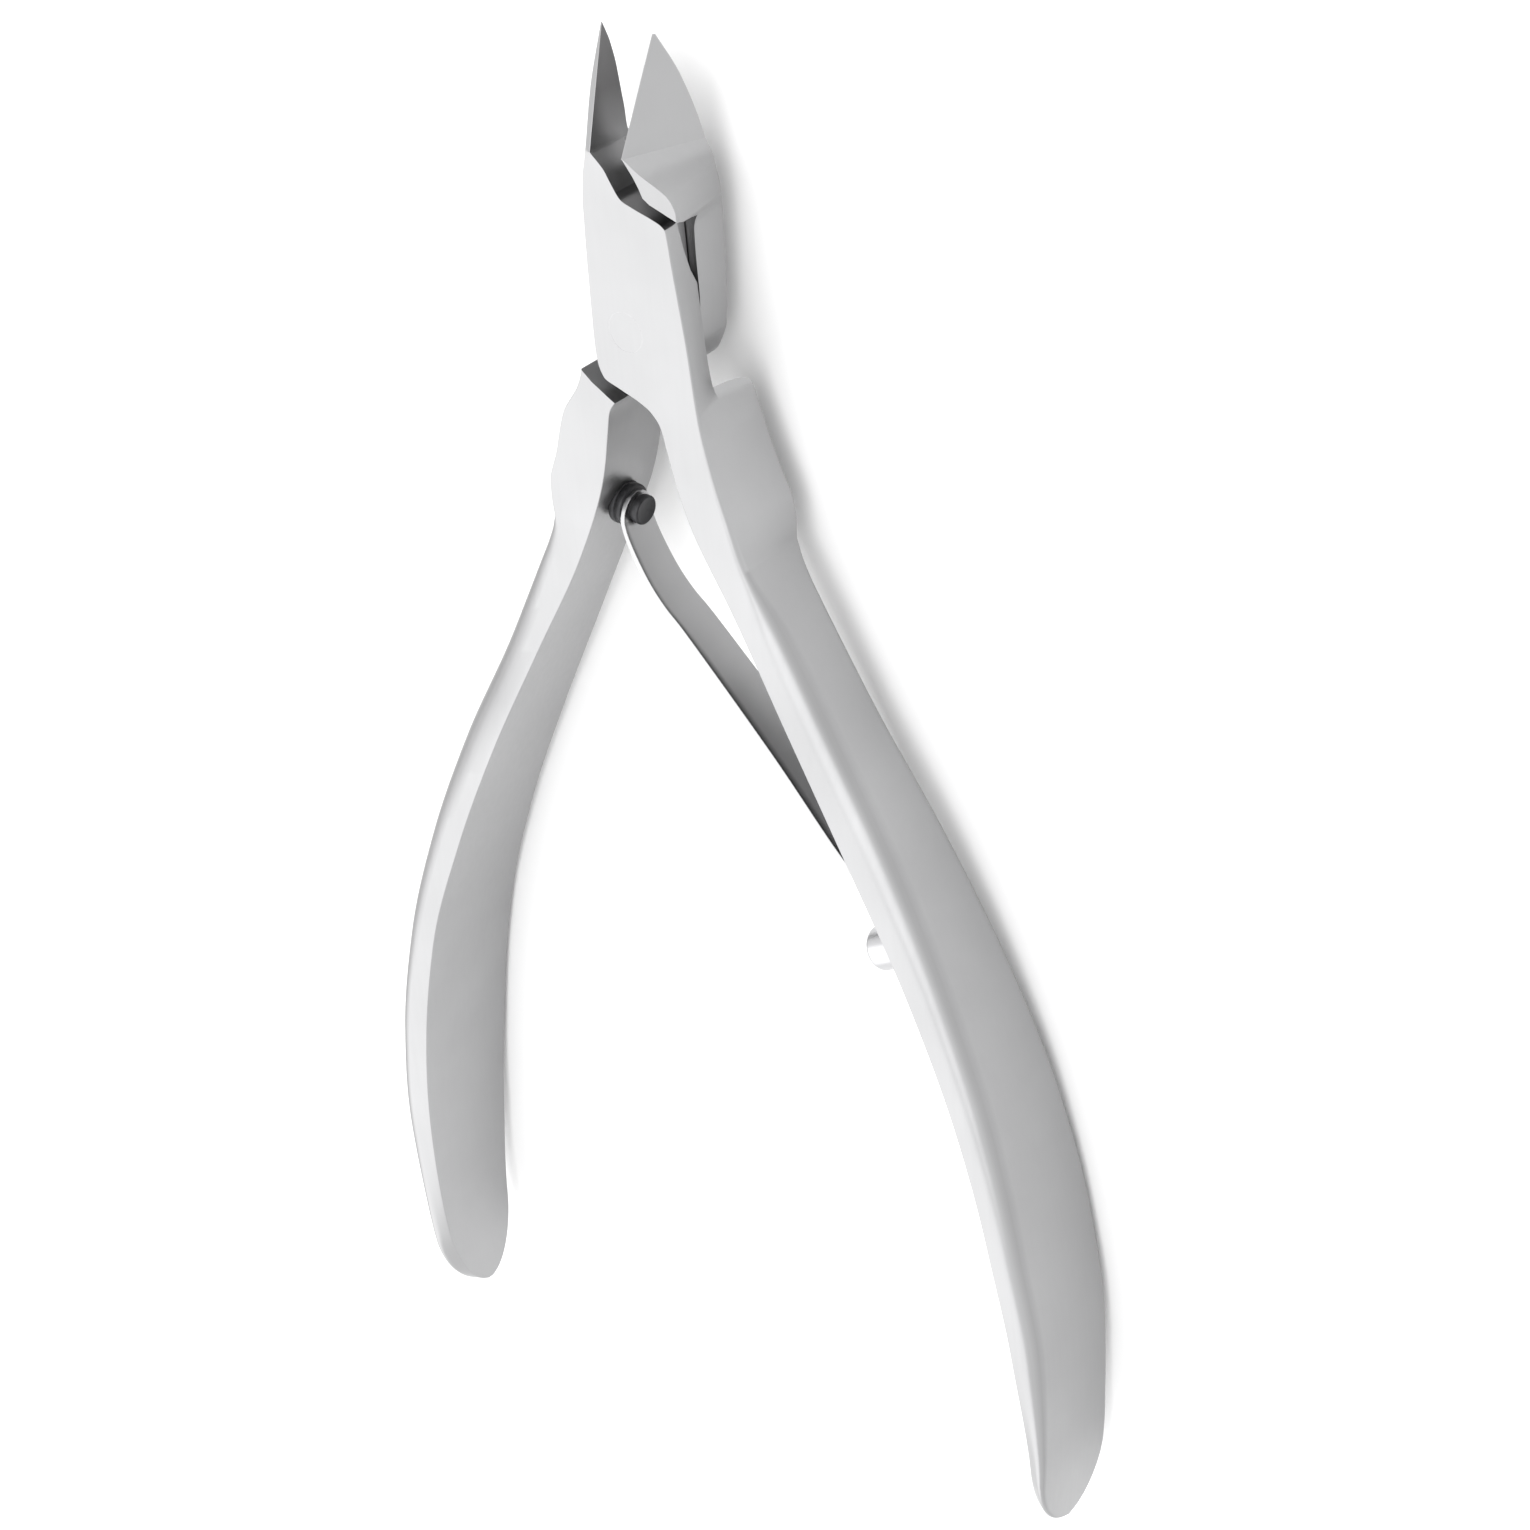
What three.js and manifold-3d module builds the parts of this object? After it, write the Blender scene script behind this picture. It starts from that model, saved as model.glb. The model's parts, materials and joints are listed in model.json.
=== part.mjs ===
// Cuticle nipper with a lap joint, two curved handles, a leaf spring and a stop stud.
// Millimetres. The nipper lies on its back: +Z runs up along the pivot, +Y towards the jaws, +X to the right.
// Everything is drawn around the pivot axis, with the lap plane at z = 0, and moved onto the ground at the end.

import * as THREE from 'three';
import { mergeVertices } from 'three/addons/utils/BufferGeometryUtils.js';
import Module from 'manifold-3d';

const wasm = await Module();
wasm.setup();

// ---- driving dimensions ----
const TIP_Y = 22.65;              // jaw tips, from the pivot
const HEEL_Y = 14.1;              // inner end of the cutting edges
const END_Y = -97.4;              // handle ends
const END_ROUND = 6.4;            // length over which the handle ends close
const JOINT_HALF = 3.2;           // half the thickness of the joint
const EDGE_SLOPE = 0.1055;        // each cutting edge lies on a plane through the pivot: x = slope * y
const TIP_Z = -0.3;               // the cutting edge climbs from here ...
const HEEL_Z = 3.4;               // ... to here
const LAP_GAP = 0.05;             // each half stops this far from the lap plane
const ARC_STEPS = 3;              // facets on each rounded corner

const RIVET_RADIUS = 1.6;
const RIVET_HALF = 3.15;
const RUNNING_GAP = 0.06;         // radial clearance of the pivot bore
const ROUND_FACETS = 32;

const SCREW_SEAT = new THREE.Vector3(-5.15, -16.55, 0);   // where the screw's axis meets the handle
const SCREW_TILT = THREE.MathUtils.degToRad(-6);          // its axis, turned from +X
const SCREW_HEAD_RADIUS = 1.2;
const SCREW_SHANK_RADIUS = 0.7;
const WASHER_RADIUS = 1.7;
const WASHER_TOP = 0.95;
const HEAD_BOTTOM = 1.75;
const HEAD_TOP = 2.6;
const SCREW_DEPTH = 2.6;

const LEAF_THICK = 0.35;
const LEAF_HALF_TOP = 1.6;
const LEAF_HALF_END = 2.2;
const LEAF_HOLE_RADIUS = 0.9;

const STUD_FOOT = new THREE.Vector3(21.35, -47.2, 0);     // where the stud's axis meets the handle
const STUD_TURN = THREE.MathUtils.degToRad(206);          // its axis, turned from +X
const STUD_RADIUS = 1.8;
const STUD_LENGTH = 5.0;
const STUD_RIM = 0.35;
const SPIGOT_RADIUS = 0.9;
const SPIGOT_LENGTH = 1.6;
const FIT_GAP = 0.05;

// ---- rails: how each edge of a half runs along y, as [y, value] ----
const handleInner = [
  [-9, 2.85], [-12, 3.5], [-15, 4.5], [-21, 7.4], [-30, 12.4], [-40, 17.9], [-50, 22.8],
  [-60, 26.7], [-70, 29.0], [-80, 30.3], [-89, 30.7], [END_Y, 30.2],
];
const handleOuter = [
  [-21, 10.9], [-30, 16.1], [-40, 21.7], [-50, 26.2], [-60, 29.65], [-70, 31.7],
  [-80, 32.75], [-89, 32.4], [END_Y, 31.3],
];
const humpSide = [[-8.2, 7.2], [-11.9, 8.4], [-14.4, 9.3], [-16.1, 9.4], [-17.4, 9.4], [-19.3, 9.95]];
const plainSide = [[-9.9, 7.1], [-14.6, 8.4], [-17.5, 9.3]];
const innerDepth = rail([
  [0, JOINT_HALF], [-15, 3.25], [-21, 3.1], [-30, 3.7], [-40, 4.3], [-50, 4.55], [-60, 4.9],
  [-70, 4.95], [-80, 4.6], [-91, 3.7], [END_Y, 3.1],
]);
const outerDepth = rail([
  [0, JOINT_HALF], [-15, 3.3], [-21, 3.1], [-30, 3.4], [-40, 3.9], [-50, 4.5], [-60, 4.95],
  [-70, 5.3], [-80, 4.95], [-91, 4.2], [END_Y, 3.6],
]);
const outerRound = rail([
  [TIP_Y, 0.02], [-5, 0.15], [-14, 0.6], [-21, 1.1], [-30, 1.4], [-60, 1.4], [-80, 1.1], [-91, 0.7], [END_Y, 0.4],
]);

const edgeX = [[TIP_Y, EDGE_SLOPE * TIP_Y], [HEEL_Y, EDGE_SLOPE * HEEL_Y]];
const edgeZ = [[TIP_Y, TIP_Z], [HEEL_Y, HEEL_Z], [12.6, JOINT_HALF], [0, JOINT_HALF]];
const bevelZ = [[TIP_Y, TIP_Z - 0.05], [HEEL_Y, HEEL_Z - 0.15], [12.6, JOINT_HALF], [0, JOINT_HALF]];
const jawBackX = [[TIP_Y, 2.55], [19.4, 3.56], [15.7, 4.3], [HEEL_Y, 4.4]];
const jawBackZ = [[TIP_Y, -0.5], [19.4, -1.6], [15.7, -2.4], [HEEL_Y, -2.8], [12.2, -JOINT_HALF], [0, -JOINT_HALF]];
const throatBackZ = [[TIP_Y, -0.45], [19, -0.6], [HEEL_Y, -0.55], [12.6, -JOINT_HALF], [0, -JOINT_HALF]];

const frontHalf = {
  frontLeft: rail([
    ...mirrored([[TIP_Y, 2.5], [19.4, 2.55], [HEEL_Y, 2.05]]), [11.6, -2.7], [9.2, -2.95], [2, -3.2], [-1.4, -3.25],
    [-3, -3.15], [-4.3, -2.65], [-4.9, -1.15], [-5.5, 0.5], [-6.1, 1.6], [-7.2, 2.45], ...handleInner,
  ]),
  frontRight: rail([
    ...mirrored(edgeX), [12.85, -0.5], [11.8, 0.1], [10.75, 0.85], [10.25, 2.2], [9.85, 3.6], [9.5, 4.5],
    [9.1, 4.9], [6.2, 5.2], [-0.1, 5.85], [-5.7, 6.3], ...plainSide, ...handleOuter,
  ]),
  backRight: rail([
    ...mirrored(edgeX), [12.85, -0.5], [11.8, 0.1], [10.75, 0.85], [10.25, 2.2], [9.85, 3.6], [9.5, 4.5],
    [9.1, 4.9], [6.2, 5.2], [-0.1, 5.85], [-5.5, 6.5], ...humpSide, ...handleOuter,
  ]),
  backLeft: rail([
    ...mirrored(jawBackX), [12.2, -4.0], [9.2, -3.3], [2, -3.2], [-1.4, -3.25], [-3, -3.15],
    [-4.3, -2.65], [-4.9, -1.15], [-5.5, 0.5], [-6.1, 1.6], [-7.2, 2.45], ...handleInner,
  ]),
  edgeOnRight: true,
};

const backHalf = {
  frontLeft: rail([
    ...edgeX, [12.3, 0.9], [10.6, 0.3], [9.6, -0.5], [8.9, -1.6], [7.9, -3.0], [7.2, -3.7], [3.1, -4.3],
    [-0.1, -4.55], [-4.1, -4.9], [-5.5, -5.4], ...mirrored(humpSide), ...mirrored(handleOuter),
  ]),
  frontRight: rail([
    [TIP_Y, 2.5], [19.4, 2.55], [HEEL_Y, 2.05], [12.3, 5.1], [10.9, 6.0], [9.7, 6.1], [8, 5.2], [2.7, 4.75],
    [-0.6, 4.4], [-2.7, 3.5], [-3.4, 2.9], [-3.75, 2.3], [-4.4, 1.1], [-5.2, -0.5], [-6, -1.6], [-7.2, -2.45],
    ...mirrored(handleInner),
  ]),
  backRight: rail([
    ...jawBackX, [12.2, 4.7], [9.9, 5.05], [6, 4.9], [2.7, 4.75], [-0.6, 4.4], [-2.7, 3.5], [-3.4, 2.9],
    [-3.75, 2.3], [-4.4, 1.1], [-5.2, -0.5], [-6, -1.6], [-7.2, -2.45], ...mirrored(handleInner),
  ]),
  backLeft: rail([
    ...edgeX, [12.3, 0.9], [10.6, 0.3], [9.6, -0.5], [8.9, -1.6], [7.9, -3.0], [7.2, -3.7], [3.1, -4.3],
    [-0.1, -4.55], [-4.1, -4.9], ...mirrored(plainSide), ...mirrored(handleOuter),
  ]),
  edgeOnRight: false,
};

// ---- lap recesses, seen from above: throat boundary, then round the side, then the shoulder ----
const frontHalfRecess = [
  [-9, 9.6], [-4.7, 10.6], [-3.65, 10.95], [-3.05, 11.35], [-2.75, 12.05], [-2.3, 12.8], [-1.49, 14.1],
  [9, 14.1], [9, -4.2], [6.6, -4.9], [5.6, -4.6], [3.9, -5.3], [2.45, -6.2], [1.3, -6.9], [-9, -11],
];
const backHalfRecess = [
  [9, 9.3], [6.1, 10.1], [4.7, 10.6], [3.65, 10.95], [3.05, 11.35], [2.75, 12.05], [2.3, 12.8], [1.49, 14.1],
  [-9, 14.1], [-9, -1.2], [-4.9, -4.1], [-3.9, -4.95], [-2.45, -5.85], [-1.1, -6.65], [9, -11],
];

// ---- helpers ----
function mirrored(points) {
  return points.map(([y, value]) => [y, -value]);
}

// Monotone cubic through [y, value] points given from the tips downwards.
function rail(points) {
  const sorted = [...points].sort((a, b) => a[0] - b[0]);
  const last = sorted.length - 1;
  const slopes = [];
  for (let i = 0; i < last; i++) {
    slopes.push((sorted[i + 1][1] - sorted[i][1]) / (sorted[i + 1][0] - sorted[i][0]));
  }
  const tangents = sorted.map((_, i) => {
    if (i === 0) return slopes[0];
    if (i === last) return slopes[last - 1];
    if (slopes[i - 1] * slopes[i] <= 0) return 0;
    return (2 * slopes[i - 1] * slopes[i]) / (slopes[i - 1] + slopes[i]);
  });
  return (y) => {
    if (y <= sorted[0][0]) return sorted[0][1];
    if (y >= sorted[last][0]) return sorted[last][1];
    const i = sorted.findIndex((point) => point[0] > y) - 1;
    const span = sorted[i + 1][0] - sorted[i][0];
    const t = (y - sorted[i][0]) / span;
    const rise = t * t * (3 - 2 * t);
    const lead = t * (1 - t) * (1 - t) * tangents[i] * span;
    const trail = t * t * (t - 1) * tangents[i + 1] * span;
    return sorted[i][1] * (1 - rise) + sorted[i + 1][1] * rise + lead + trail;
  };
}

// A closed section with each corner cut back by its radius and rounded.
function roundedSection(corners, radii) {
  const points = [];
  corners.forEach((corner, i) => {
    const before = corners[(i + corners.length - 1) % corners.length];
    const after = corners[(i + 1) % corners.length];
    const reach = Math.min(radii[i], 0.45 * corner.distanceTo(before), 0.45 * corner.distanceTo(after));
    const start = corner.clone().add(before.clone().sub(corner).setLength(reach));
    const end = corner.clone().add(after.clone().sub(corner).setLength(reach));
    const bend = new THREE.QuadraticBezierCurve(start, corner, end);
    points.push(...bend.getPoints(ARC_STEPS));
  });
  return points;
}

// Joins rings of equal length into one closed body.
function loft(rings) {
  const count = rings[0].length;
  const positions = rings.flat().flatMap((point) => [point.x, point.y, point.z]);
  const indices = [];
  for (let r = 0; r + 1 < rings.length; r++) {
    for (let i = 0; i < count; i++) {
      const a = r * count + i;
      const b = r * count + ((i + 1) % count);
      indices.push(a, b, a + count, b, b + count, a + count);
    }
  }
  const top = (rings.length - 1) * count;
  for (let i = 1; i + 1 < count; i++) {
    indices.push(0, i + 1, i);
    indices.push(top, top + i, top + i + 1);
  }
  const geometry = new THREE.BufferGeometry();
  geometry.setAttribute('position', new THREE.Float32BufferAttribute(positions, 3));
  geometry.setIndex(indices);
  return geometry;
}

function solid(geometry) {
  const bare = geometry.clone();
  bare.deleteAttribute('normal');
  bare.deleteAttribute('uv');
  const merged = mergeVertices(bare, 1e-5);
  return new wasm.Manifold(new wasm.Mesh({
    numProp: 3,
    vertProperties: new Float32Array(merged.attributes.position.array),
    triVerts: new Uint32Array(merged.index.array),
  }));
}

function fromSolid(body) {
  const mesh = body.getMesh();
  const geometry = new THREE.BufferGeometry();
  geometry.setAttribute('position', new THREE.Float32BufferAttribute(mesh.vertProperties, 3));
  geometry.setIndex([...mesh.triVerts]);
  geometry.computeVertexNormals();
  return geometry;
}

// An upright prism from an outline of [x, y] points.
function prism(outline, low, high) {
  const shape = new THREE.Shape(outline.map(([x, y]) => new THREE.Vector2(x, y)));
  const geometry = new THREE.ExtrudeGeometry(shape, { depth: high - low, bevelEnabled: false });
  return geometry.translate(0, 0, low);
}

// A turned piece: [radius, height] points, then laid along an axis in the lap plane.
function turned(profile, seat, angle, facets = ROUND_FACETS) {
  const points = profile.map(([radius, height]) => new THREE.Vector2(radius, height));
  const geometry = new THREE.LatheGeometry(points, facets);
  geometry.rotateZ(-Math.PI / 2);
  geometry.rotateZ(angle);
  return geometry.translate(seat.x, seat.y, seat.z);
}

function upright(profile, facets = ROUND_FACETS) {
  const points = profile.map(([radius, height]) => new THREE.Vector2(radius, height));
  return new THREE.LatheGeometry(points, facets).rotateX(Math.PI / 2);
}

function steel(color, roughness) {
  return new THREE.MeshStandardMaterial({ color, roughness, metalness: 0.9 });
}

function piece(name, geometry, material) {
  const mesh = new THREE.Mesh(geometry, material);
  mesh.name = name;
  return mesh;
}

// ---- the two halves ----
function stations() {
  const places = [END_Y];
  for (let y = END_Y + 0.25; y < -94; y += 0.75) places.push(y);
  for (let y = -92; y < -20; y += 3) places.push(y);
  places.push(-80, -70);
  for (let y = -19; y < -8; y += 1.5) places.push(y);
  for (let y = -7.2; y < -2.5; y += 0.4) places.push(y);
  for (let y = -1; y < 9; y += 2.5) places.push(y);
  for (let y = 9.1; y < HEEL_Y - 0.2; y += 0.4) places.push(y);
  places.push(HEEL_Y, 15.7, 17.5, 19.4, 21, 22, TIP_Y);
  return [...new Set(places.map((y) => Number(y.toFixed(3))))].sort((a, b) => a - b);
}

// The handle ends close like an ellipse in the side view.
function endFactor(y) {
  const into = Math.max(0, END_Y + END_ROUND - y) / END_ROUND;
  return Math.sqrt(Math.max(0.012, 1 - into * into));
}

function section(half, y) {
  const edge = rail(edgeZ)(y);
  const bevel = rail(bevelZ)(y);
  const outerBack = rail(jawBackZ)(y);
  const innerBack = rail(throatBackZ)(y);
  const close = endFactor(y);
  let heights = half.edgeOnRight ? [bevel, edge, innerBack, outerBack] : [edge, bevel, outerBack, innerBack];
  if (y < 0) {
    const inner = innerDepth(y) * close;
    const outer = outerDepth(y) * close;
    heights = half.edgeOnRight ? [inner, outer, -outer, -inner] : [outer, inner, -inner, -outer];
  }
  const corners = [
    new THREE.Vector2(half.frontLeft(y), heights[0]),
    new THREE.Vector2(half.frontRight(y), heights[1]),
    new THREE.Vector2(half.backRight(y), heights[2]),
    new THREE.Vector2(half.backLeft(y), heights[3]),
  ];
  const soft = outerRound(y);
  const sharp = Math.min(soft, 0.15);
  const radii = half.edgeOnRight ? [sharp, soft, soft, sharp] : [soft, sharp, sharp, soft];
  return roundedSection(corners, radii).map((point) => new THREE.Vector3(point.x, y, point.y));
}

function blank(half) {
  return solid(loft(stations().map((y) => section(half, y))));
}

function pivotBore() {
  const radius = RIVET_RADIUS + RUNNING_GAP;
  return solid(upright([[0, -9], [radius, -9], [radius, 9], [0, 9]]));
}

function makeFrontHalf() {
  const recess = solid(prism(frontHalfRecess, -9, LAP_GAP));
  const spigotHole = solid(turned(
    [[0, -SPIGOT_LENGTH - FIT_GAP], [SPIGOT_RADIUS + FIT_GAP, -SPIGOT_LENGTH - FIT_GAP], [SPIGOT_RADIUS + FIT_GAP, 2], [0, 2]],
    STUD_FOOT, STUD_TURN,
  ));
  return fromSolid(blank(frontHalf).subtract(recess).subtract(pivotBore()).subtract(spigotHole));
}

function makeBackHalf() {
  const recess = solid(prism(backHalfRecess, -LAP_GAP, 9));
  const tapped = SCREW_SHANK_RADIUS + FIT_GAP;
  const screwHole = solid(turned(
    [[0, -SCREW_DEPTH - FIT_GAP], [tapped, -SCREW_DEPTH - FIT_GAP], [tapped, 2], [0, 2]],
    SCREW_SEAT, SCREW_TILT,
  ));
  const seat = WASHER_RADIUS + FIT_GAP;
  const spotFace = solid(turned([[0, -FIT_GAP], [seat, -FIT_GAP], [seat, 3], [0, 3]], SCREW_SEAT, SCREW_TILT));
  return fromSolid(blank(backHalf).subtract(recess).subtract(pivotBore()).subtract(screwHole).subtract(spotFace));
}

// ---- rivet, spring, screw, washer and stud ----
function makeRivet() {
  return upright([[0, -RIVET_HALF], [RIVET_RADIUS, -RIVET_HALF], [RIVET_RADIUS, RIVET_HALF], [0, RIVET_HALF]]);
}

function makeScrew() {
  const profile = [
    [0, -SCREW_DEPTH], [SCREW_SHANK_RADIUS, -SCREW_DEPTH], [SCREW_SHANK_RADIUS, HEAD_BOTTOM],
    [SCREW_HEAD_RADIUS, HEAD_BOTTOM], [SCREW_HEAD_RADIUS, HEAD_TOP - 0.2], [SCREW_HEAD_RADIUS - 0.2, HEAD_TOP], [0, HEAD_TOP],
  ];
  return turned(profile, SCREW_SEAT, SCREW_TILT);
}

function makeWasher() {
  const bore = SCREW_SHANK_RADIUS + FIT_GAP;
  const profile = [
    [bore, 0], [WASHER_RADIUS, 0], [WASHER_RADIUS, WASHER_TOP - 0.25], [WASHER_RADIUS - 0.25, WASHER_TOP],
    [bore, WASHER_TOP], [bore, 0],
  ];
  return turned(profile, SCREW_SEAT, SCREW_TILT);
}

function makeStud() {
  const profile = [
    [0, -SPIGOT_LENGTH], [SPIGOT_RADIUS, -SPIGOT_LENGTH], [SPIGOT_RADIUS, 0.1], [STUD_RADIUS, 0.1],
    [STUD_RADIUS, STUD_LENGTH - STUD_RIM], [STUD_RADIUS - STUD_RIM, STUD_LENGTH], [0, STUD_LENGTH],
  ];
  return turned(profile, STUD_FOOT, STUD_TURN);
}

// The strip's middle line: a tab under the screw's head, a bend, and a long gentle run to the other handle.
function leafLine() {
  const along = new THREE.Vector2(Math.sin(SCREW_TILT), -Math.cos(SCREW_TILT));
  const reach = (WASHER_TOP + HEAD_BOTTOM) / 2;
  const tab = new THREE.Vector2(
    SCREW_SEAT.x + reach * Math.cos(SCREW_TILT),
    SCREW_SEAT.y + reach * Math.sin(SCREW_TILT),
  );
  return [
    tab.clone().addScaledVector(along, -1.35), tab.clone().addScaledVector(along, -0.5),
    tab.clone().addScaledVector(along, 0.5), new THREE.Vector2(-3.82, -17.7),
    new THREE.Vector2(-3.45, -18.9), new THREE.Vector2(-2.65, -20.6), new THREE.Vector2(-1.6, -22.35),
    new THREE.Vector2(-0.3, -23.9), new THREE.Vector2(1.85, -25.95),
    new THREE.Vector2(9.2, -33.8), new THREE.Vector2(14.7, -40.2), new THREE.Vector2(18.2, -43.6),
  ];
}

function makeLeaf() {
  const line = new THREE.SplineCurve(leafLine());
  const steps = 30;
  const rings = [];
  for (let i = 0; i <= steps; i++) {
    const t = i / steps;
    const at = line.getPointAt(t);
    const run = line.getTangentAt(t);
    const across = new THREE.Vector2(-run.y, run.x).multiplyScalar(LEAF_THICK / 2);
    const fromEnd = Math.min(t, 1 - t) * line.getLength();
    const full = THREE.MathUtils.lerp(LEAF_HALF_TOP, LEAF_HALF_END, t);
    const tuck = Math.max(0, 1 - fromEnd / full);
    const half = full * Math.sqrt(Math.max(0.04, 1 - tuck * tuck));
    rings.push([
      new THREE.Vector3(at.x - across.x, at.y - across.y, -half),
      new THREE.Vector3(at.x + across.x, at.y + across.y, -half),
      new THREE.Vector3(at.x + across.x, at.y + across.y, half),
      new THREE.Vector3(at.x - across.x, at.y - across.y, half),
    ]);
  }
  const hole = solid(turned([[0, 0], [LEAF_HOLE_RADIUS, 0], [LEAF_HOLE_RADIUS, 4], [0, 4]], SCREW_SEAT, SCREW_TILT));
  return fromSolid(solid(loft(rings)).subtract(hole));
}

// ---- assembly ----
const assembly = new THREE.Group();
assembly.add(
  piece('front_half', makeFrontHalf(), steel(0xc9cacc, 0.32)),
  piece('back_half', makeBackHalf(), steel(0xc9cacc, 0.32)),
  piece('pivot_rivet', makeRivet(), steel(0xc4c5c8, 0.3)),
  piece('spring_leaf', makeLeaf(), steel(0xb4b5b8, 0.28)),
  piece('spring_screw', makeScrew(), steel(0x2c2c2e, 0.45)),
  piece('spring_washer', makeWasher(), steel(0x262628, 0.5)),
  piece('stop_stud', makeStud(), steel(0xd6d7d9, 0.3)),
);
const box = new THREE.Box3().setFromObject(assembly);
assembly.position.set(0, -(TIP_Y + END_Y) / 2, -box.min.z);

export default assembly;
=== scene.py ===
"""Cuticle nipper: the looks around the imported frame. Blender 4.5, metres, +Z up along the pivot."""
import json
import math

import bmesh
import bpy
import numpy as np
from mathutils import Matrix, Vector


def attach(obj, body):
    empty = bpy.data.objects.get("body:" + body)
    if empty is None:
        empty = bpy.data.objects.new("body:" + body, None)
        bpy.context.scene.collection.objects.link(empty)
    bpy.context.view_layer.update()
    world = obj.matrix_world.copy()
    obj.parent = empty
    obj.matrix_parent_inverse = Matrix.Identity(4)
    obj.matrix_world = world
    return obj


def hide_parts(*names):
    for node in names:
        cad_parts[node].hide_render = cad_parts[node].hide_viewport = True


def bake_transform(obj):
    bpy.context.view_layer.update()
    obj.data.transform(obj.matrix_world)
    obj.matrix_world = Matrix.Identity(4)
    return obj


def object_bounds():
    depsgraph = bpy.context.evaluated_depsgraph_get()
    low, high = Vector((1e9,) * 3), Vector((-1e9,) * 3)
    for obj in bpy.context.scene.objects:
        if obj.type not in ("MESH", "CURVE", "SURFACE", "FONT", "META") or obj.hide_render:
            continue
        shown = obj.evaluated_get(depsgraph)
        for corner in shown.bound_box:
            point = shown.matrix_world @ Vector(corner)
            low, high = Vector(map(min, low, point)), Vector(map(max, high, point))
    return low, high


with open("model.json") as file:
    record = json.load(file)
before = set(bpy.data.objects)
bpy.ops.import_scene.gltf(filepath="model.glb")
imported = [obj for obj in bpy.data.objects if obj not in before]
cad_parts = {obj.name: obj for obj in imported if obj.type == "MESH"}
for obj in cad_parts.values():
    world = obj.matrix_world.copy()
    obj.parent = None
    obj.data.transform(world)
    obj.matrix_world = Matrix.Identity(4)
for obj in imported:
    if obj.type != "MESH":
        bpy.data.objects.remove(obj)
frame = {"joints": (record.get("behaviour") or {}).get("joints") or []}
cad_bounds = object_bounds()

# ---- driving dimensions, in millimetres around the pivot ----
MM = 0.001
PIVOT = Vector([j for j in frame["joints"] if j["name"] == "pivot"][0]["pos_m"])
TIP_Y = 22.65
HEEL_Y = 14.1
END_Y = -97.4
INNER_END_ROUND = 6.4
OUTER_END_ROUND = 5.6
END_FLAT = 0.012                 # keeps a handle's last section from closing to a line
JOINT_HALF = 3.2
JAW_FOOT_Y = 12.6                # where the jaws' edges meet the plates' faces
EDGE_SLOPE = 0.1055
TIP_Z = -0.3
HEEL_Z = 3.4
LAP_GAP = 0.05
ARC_STEPS = 8
SHARP = 0.1                      # rounding of the crisp edges
SOFT_SHARE = 0.66                # the most of a side that one soft corner may take
CRISP_SHARE = 0.3                # the same for a crisp one

RIVET_RADIUS = 1.6
BORE_GAP = 0.004
AXIS_RADIUS = 0.02               # of the small flat that closes a turned piece's end
TURNED_SIDES = 96
SCREW_SEAT = (-5.15, -16.55)
SCREW_TILT = math.radians(-6)
SCREW_HOLE = 0.74
SPOT_FACE = 1.76
TAB_REACH = 1.35                 # from the seat to the middle of the leaf, along the screw
TAB_LENGTH = 1.35                # from the screw to the leaf's upper end
TAB_HALF = 0.5                   # how far the flat part reaches either side of the screw
LEAF_HALF_THICK = 0.21
LEAF_EDGE = 0.04
LEAF_EDGE_SHARE = 0.3            # the most of the leaf's half width that its edge may take
LEAF_HOLE = 0.75
LEAF_ROWS = (0.12, 0.35, 0.8)    # rows of points beside the leaf's front edge
LEAF_SHADE_REACH = (0.28, 0.75)        # how far in the painted edge shade reaches: near the screw, further down
STUD_FOOT = (21.35, -47.2)
STUD_TURN = math.radians(206)

SHOULDER_START = 1.0             # the shoulder cutter's left end
SHOULDER_PIN_X = 6.4             # where the leaning cutter has the outline's own y
SHOULDER_LEAN = 0.9
SIDE_EASE = 0.05                 # how far the plate's side cutter clears the rails

FLOOR_GAP = 0.0002               # metres, as are the lights' places and sizes below
KEY_LIGHT = ((-0.47, -0.39, 0.52), (0.9, 0.9), 2.75)
TOP_LIGHT = ((0.1, 0.2, 0.9), (1.0, 1.0), 4.0)
SKY_STRENGTH = 1.42
CAMERA_AZIMUTH = math.radians(41.74)
CAMERA_RISE = math.radians(29.22)
CAMERA_ROLL = math.radians(-5.5)
CAMERA_PLACE = (8.25, -33.17, 404.9)  # mm from the pivot: right, up and back
CAMERA_LENS = 128.9

# ---- rails: how each edge of a half runs along y, as (y, value) ----
HANDLE_INNER = [
    (-9, 2.85), (-12, 3.5), (-15, 4.5), (-21, 7.4), (-30, 12.4), (-40, 17.9), (-50, 22.8),
    (-60, 26.7), (-70, 29.0), (-80, 30.3), (-89, 30.7), (END_Y, 30.2),
]
HANDLE_OUTER = [
    (-21, 10.9), (-30, 16.1), (-40, 21.7), (-50, 26.2), (-60, 29.65), (-70, 31.7),
    (-80, 32.75), (-89, 32.4), (END_Y, 31.3),
]
BAND_SIDE = [
    (-8.2, 7.2), (-11.9, 8.4), (-14.4, 9.3), (-16.1, 9.4), (-17.4, 9.35), (-18.3, 9.75), (-19.2, 10.25),
    (-22.4, 12.05), (-25.6, 13.7), (-30, 15.95), (-40, 21.6), (-50, 26.2), (-60, 29.65), (-70, 31.7),
    (-80, 32.75), (-89, 32.4), (END_Y, 31.3),
]
PLAIN_SIDE = [(-9.9, 7.1), (-14.6, 8.4), (-17.5, 9.3)]
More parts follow.
